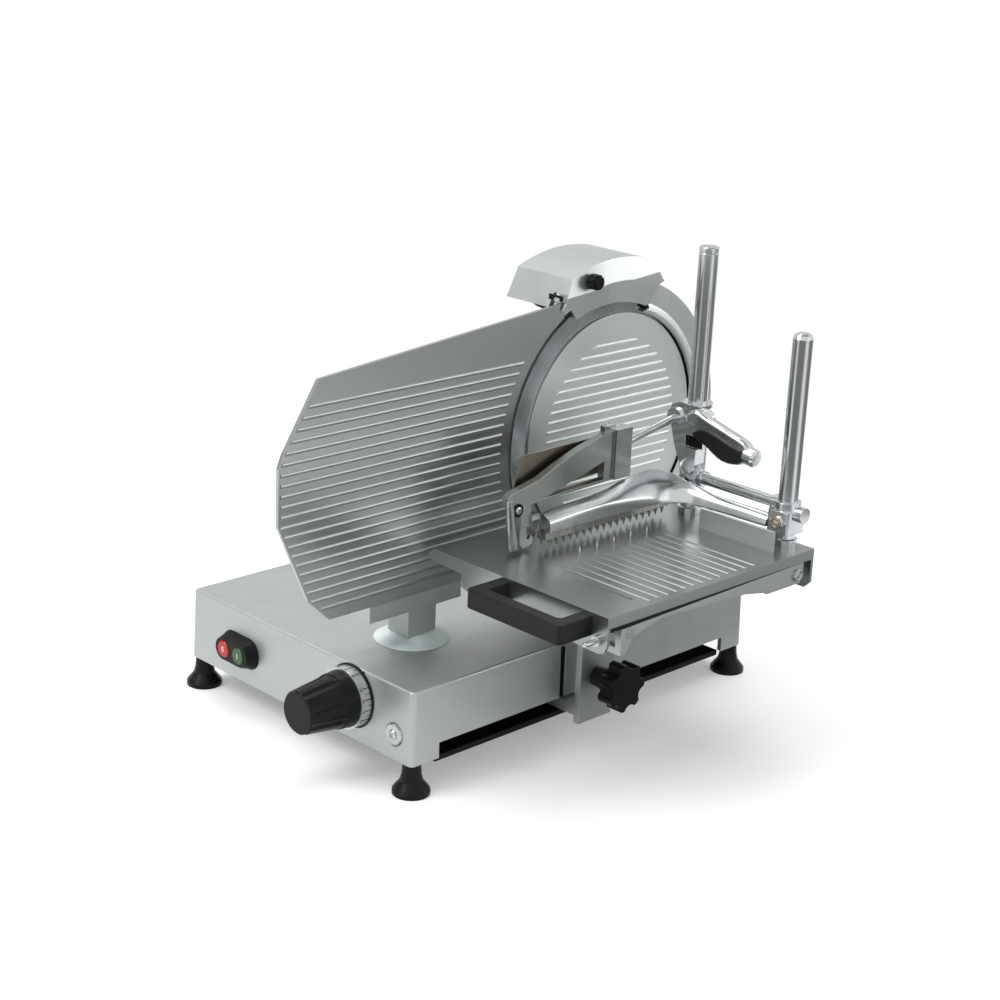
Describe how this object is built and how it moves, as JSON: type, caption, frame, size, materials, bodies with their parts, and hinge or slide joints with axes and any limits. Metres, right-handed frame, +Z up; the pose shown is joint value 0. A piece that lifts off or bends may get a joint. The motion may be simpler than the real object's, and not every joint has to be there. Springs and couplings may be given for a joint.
{
  "type": "vertical butcher's slicer",
  "caption": "Vertical butcher's slicer with upright blade, ribbed gauge plate, sliding carriage, two-post meat press, sharpener hood and thickness knob.",
  "frame": {"origin": "centre of the base footprint, on the surface the feet stand on", "axes": "+X to the operator's right, across the machine from the base to the carriage; +Y away from the operator, along the carriage travel; +Z up"},
  "size_m": [0.6085, 0.7098, 0.5765],
  "materials": {
    "anodised_light": "satin",
    "satin_plate": "satin",
    "cover_aluminium": "satin",
    "black_rubber": "matte",
    "black_sheet": "matte",
    "black_plastic": "satin",
    "red_button": "gloss",
    "green_button": "gloss",
    "blade_steel": "polished",
    "bright_steel": "satin",
    "chrome": "polished",
    "polished_cast": "polished",
    "dark_polished": "polished",
    "bronze": "satin",
    "white_seal": "satin",
    "dial_silver": "satin",
    "stone": "matte"
  },
  "bodies": {
    "base": {"base_housing": "anodised_light", "base_pan": "black_sheet", "feet": "black_rubber", "switch_housing": "black_plastic", "corner_plug": "bright_steel", "side_strip": "black_sheet", "cable_gland": "black_plastic", "guide_bar": "bright_steel", "guide_bar_supports": "anodised_light", "gauge_guide_rods": "bright_steel", "blade_head": "anodised_light", "shaft_bearings": "bright_steel", "belt_cover": "anodised_light", "blade_cover": "cover_aluminium", "cover_tie_rod": "bright_steel", "ring_guard": "cover_aluminium", "sharpener_base": "anodised_light", "motor": "anodised_light", "drive_belt": "black_rubber"},
    "blade_unit": {"blade": "blade_steel", "blade_shaft": "bright_steel", "blade_pulley": "bright_steel"},
    "motor_rotor": {"motor_shaft": "bright_steel"},
    "gauge": {"gauge_plate": "satin_plate", "gauge_bracket": "anodised_light", "gauge_screws": "bright_steel", "gauge_seal": "white_seal", "gauge_slider": "anodised_light"},
    "knob": {"dial_ring": "dial_silver", "thickness_knob": "black_plastic", "knob_spindle": "bright_steel"},
    "stop": {"stop_button": "red_button"},
    "start": {"start_button": "green_button"},
    "carriage": {"carriage_block": "anodised_light", "carriage_bushes": "bronze", "carriage_frame": "anodised_light", "feed_rods": "bright_steel"},
    "star": {"star_knob": "black_plastic"},
    "table": {"meat_table": "anodised_light", "table_handle": "black_plastic", "table_fence": "anodised_light", "table_spikes": "bright_steel", "table_runners": "anodised_light", "flange_screw": "bright_steel", "inner_post": "chrome", "outer_post": "chrome"},
    "press": {"outer_boss": "polished_cast", "cross_shaft": "chrome", "post_clamp": "polished_cast", "press_arm": "polished_cast", "toothed_bar": "bright_steel", "guard_rod": "chrome"},
    "guard": {"guard_casting": "polished_cast", "guard_plate": "dark_polished"},
    "lever": {"lever_arm": "chrome", "lever_grip": "black_plastic"},
    "hood": {"sharpener_cover": "cover_aluminium"},
    "hood_knob": {"sharpener_knob": "black_plastic"},
    "grinding": {"grinding_stone": "stone"},
    "deburring": {"deburring_stone": "stone"}
  },
  "joints": [
    {"name": "blade_spin", "type": "hinge", "parent": "base", "child": "blade_unit", "pos_m": [0.09, 0.127, 0.3345], "axis": [1, 0, 0], "continuous": true},
    {"name": "motor_spin", "type": "hinge", "parent": "base", "child": "motor_rotor", "pos_m": [0.05, 0.127, 0.077], "axis": [1, 0, 0], "continuous": true},
    {"name": "gauge_slide", "type": "slide", "parent": "base", "child": "gauge", "axis": [1, 0, 0], "range_m": [-0.016, 0]},
    {"name": "knob_turn", "type": "hinge", "parent": "base", "child": "knob", "pos_m": [0.101, -0.33, 0.089], "axis": [0, 1, 0], "range_deg": [0, 330]},
    {"name": "stop_press", "type": "slide", "parent": "base", "child": "stop", "axis": [0, 1, 0], "range_m": [0, 0.003], "stiffness_N_per_m": 400, "springref_m": -0.002},
    {"name": "start_press", "type": "slide", "parent": "base", "child": "start", "axis": [0, 1, 0], "range_m": [0, 0.003], "stiffness_N_per_m": 400, "springref_m": -0.002},
    {"name": "carriage_slide", "type": "slide", "parent": "base", "child": "carriage", "axis": [0, 1, 0], "range_m": [-0.18, 0.2]},
    {"name": "star_turn", "type": "hinge", "parent": "carriage", "child": "star", "pos_m": [0.25, -0.02775, 0.09], "axis": [1, 0, 0], "continuous": true},
    {"name": "table_feed", "type": "slide", "parent": "carriage", "child": "table", "axis": [1, 0, 0], "range_m": [0, 0.09]},
    {"name": "press_lift", "type": "slide", "parent": "table", "child": "press", "axis": [0, 0, 1], "range_m": [0, 0.18]},
    {"name": "guard_swing", "type": "hinge", "parent": "press", "child": "guard", "pos_m": [0.177, 0.07, 0.3445], "axis": [0, 1, 0], "range_deg": [0, 25]},
    {"name": "lever_swing", "type": "hinge", "parent": "press", "child": "lever", "pos_m": [0.2264, 0.14, 0.372], "axis": [0, -1, 0], "range_deg": [0, 40]},
    {"name": "hood_lift", "type": "slide", "parent": "base", "child": "hood", "axis": [0, 0, 1], "range_m": [0, 0.08]},
    {"name": "hood_knob_turn", "type": "hinge", "parent": "hood", "child": "hood_knob", "pos_m": [0.11, 0.0716, 0.5275], "axis": [1, 0, 0], "continuous": true},
    {"name": "grinding_spin", "type": "hinge", "parent": "base", "child": "grinding", "pos_m": [0.06, 0.105, 0.5155], "axis": [1, 0, 0], "continuous": true},
    {"name": "deburring_spin", "type": "hinge", "parent": "base", "child": "deburring", "pos_m": [0.06, 0.15, 0.5155], "axis": [1, 0, 0], "continuous": true}
  ],
  "couplings": [
    {"joint": "motor_spin", "follows": "blade_spin", "ratio": 2.375},
    {"joint": "knob_turn", "follows": "gauge_slide", "rad_per_m": -359}
  ]
}
